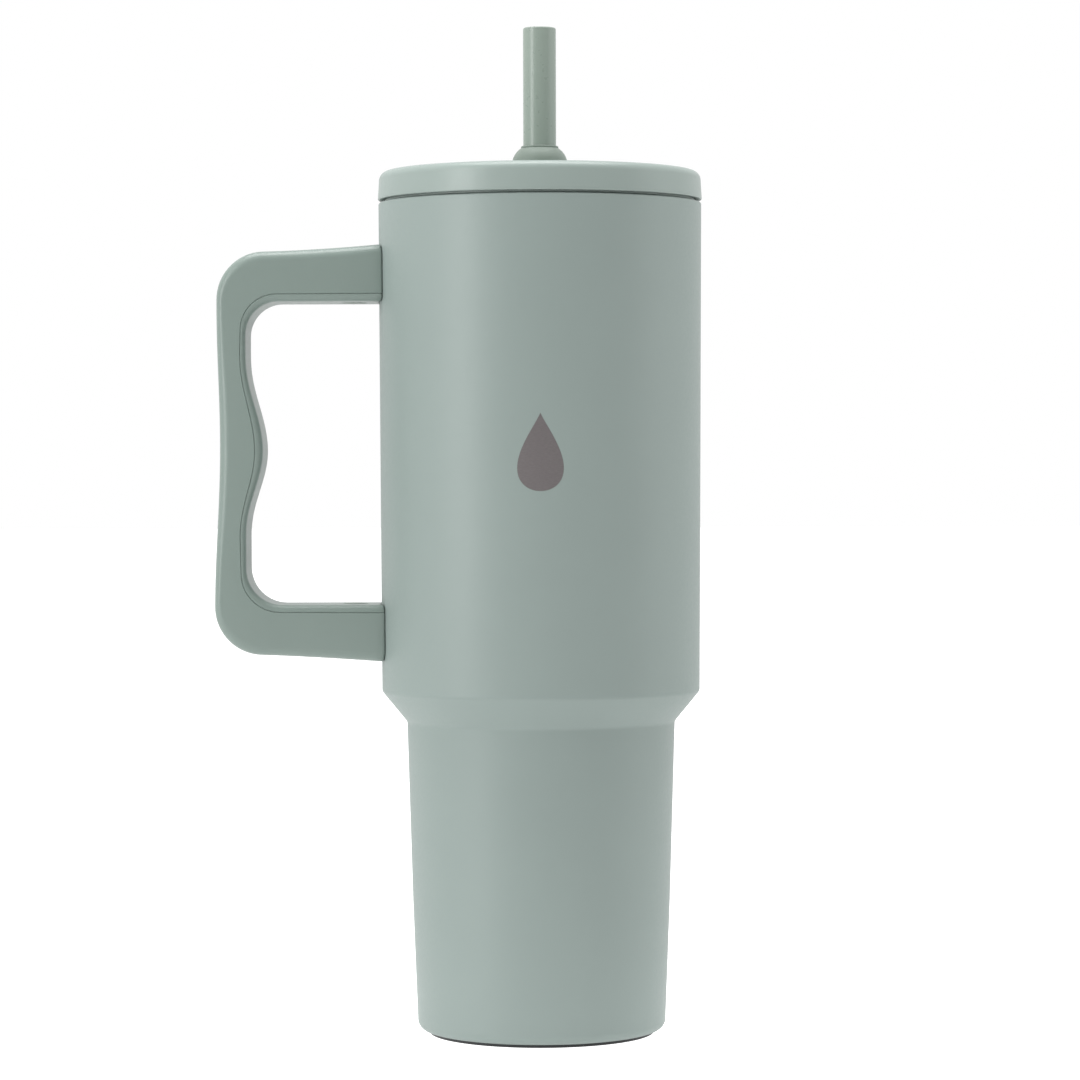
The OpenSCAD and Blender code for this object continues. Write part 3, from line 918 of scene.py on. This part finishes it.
def ramp(nodes, links, source, from_range, to_range):
    """Smooth step of a value from one range to another."""
    node = nodes.new("ShaderNodeMapRange")
    node.interpolation_type = "SMOOTHSTEP"
    node.inputs["From Min"].default_value, node.inputs["From Max"].default_value = from_range
    node.inputs["To Min"].default_value, node.inputs["To Max"].default_value = to_range
    links.new(source, node.inputs["Value"])
    return node.outputs["Result"]


def add(nodes, links, *sources):
    """Sum of two values."""
    node = nodes.new("ShaderNodeMath")
    node.operation = "ADD"
    for i, source in enumerate(sources):
        links.new(source, node.inputs[i])
    return node.outputs["Value"]


def make_floor():
    """Large grey disc under the cup that glows as painted light: evenly, more within about 16 cm of the foot,
    and more again where the camera sees it, so that it reads as a white sweep.
    """
    segments = 96
    ring = []
    for k in range(segments):
        angle = math.tau * k / segments
        ring.append((FLOOR_R * math.cos(angle), FLOOR_R * math.sin(angle), -FLOOR_DROP))
    floor = make_object("floor", ring, [tuple(range(segments))])
    s = Surface("glowing_floor")
    s.tint(s.noise(3, 2), FLOOR_GREY, 0.004)
    s.roughness(s.noise(20, 2), 0.75, 0.85)
    s.value("Specular IOR Level", 0.2)
    s.value("Emission Color", (1, 1, 1, 1))
    reach = s.nodes.new("ShaderNodeVectorMath")
    reach.operation = "LENGTH"
    s.links.new(s.coords, reach.inputs[0])
    # Painted light: the floor glows brighter close to the foot, a pool of light that brightens the cup's
    # lower wall and burns out the shadow there.
    near = ramp(s.nodes, s.links, reach.outputs["Value"], (0.06, 0.16), (FLOOR_GLOW + FLOOR_NEAR, FLOOR_GLOW))
    camera_ray = s.nodes.new("ShaderNodeLightPath").outputs["Is Camera Ray"]
    seen = ramp(s.nodes, s.links, camera_ray, (0, 1), (0, FLOOR_SEEN))
    s.links.new(add(s.nodes, s.links, near, seen), s.shader.inputs["Emission Strength"])
    floor.data.materials.append(s.material)


def soft_light(name, location, width, height, power):
    """Rectangular light that faces the cup and isn't seen by the camera."""
    light = bpy.data.lights.new(name, "AREA")
    light.shape = "RECTANGLE"
    light.size, light.size_y = width, height
    light.energy = power
    obj = bpy.data.objects.new(name, light)
    bpy.context.scene.collection.objects.link(obj)
    obj.location = location
    obj.visible_camera = False
    obj.rotation_mode = "QUATERNION"
    obj.rotation_quaternion = (Vector(LIGHT_TARGET) - obj.location).to_track_quat("-Z", "Y")


def make_world():
    """White surroundings, dimmer on the camera's side so that the cup's sides stay the brightest."""
    world = bpy.data.worlds.new("studio")
    bpy.context.scene.world = world
    world.use_nodes = True
    nodes, links = world.node_tree.nodes, world.node_tree.links
    shade = nodes["Background"]
    coords = nodes.new("ShaderNodeTexCoord").outputs["Generated"]
    split = nodes.new("ShaderNodeSeparateXYZ")
    links.new(coords, split.inputs["Vector"])
    depth = ramp(nodes, links, split.outputs["Y"], (-1.0, 0.0), (WORLD_FRONT, WORLD_BACK))
    seen = nodes.new("ShaderNodeLightPath").outputs["Is Camera Ray"]
    pick = nodes.new("ShaderNodeMix")
    links.new(seen, pick.inputs["Factor"])
    links.new(depth, pick.inputs["A"])
    pick.inputs["B"].default_value = 1.0
    links.new(pick.outputs["Result"], shade.inputs["Strength"])
    shade.inputs["Color"].default_value = (1, 1, 1, 1)


def make_camera():
    """Long lens, level with the handle, 1.17 m in front of the cup."""
    distance, height, pitch, roll = 1.174, 0.174, 1.16, 0.14
    data = bpy.data.cameras.new("camera")
    data.lens = 128.33
    data.sensor_width = 36
    data.clip_end = 50
    camera = bpy.data.objects.new("camera", data)
    bpy.context.scene.collection.objects.link(camera)
    turn = Matrix.Rotation(math.radians(90 - pitch), 4, "X") @ Matrix.Rotation(math.radians(-roll), 4, "Z")
    camera.matrix_world = Matrix.Translation((-0.0002, -distance, height)) @ turn
    bpy.context.scene.camera = camera


make_floor()
make_world()
soft_light("key_left", (-1.0, -0.68, 0.35), 0.32, 1.3, KEY_POWER)
soft_light("fill_right", (1.25, -0.05, 0.40), 0.7, 1.3, FILL_POWER)
soft_light("top", (0, 0.14, 3.0), 2.7, 1.65, TOP_POWER)
make_camera()
bpy.context.scene.view_settings.view_transform = "Standard"
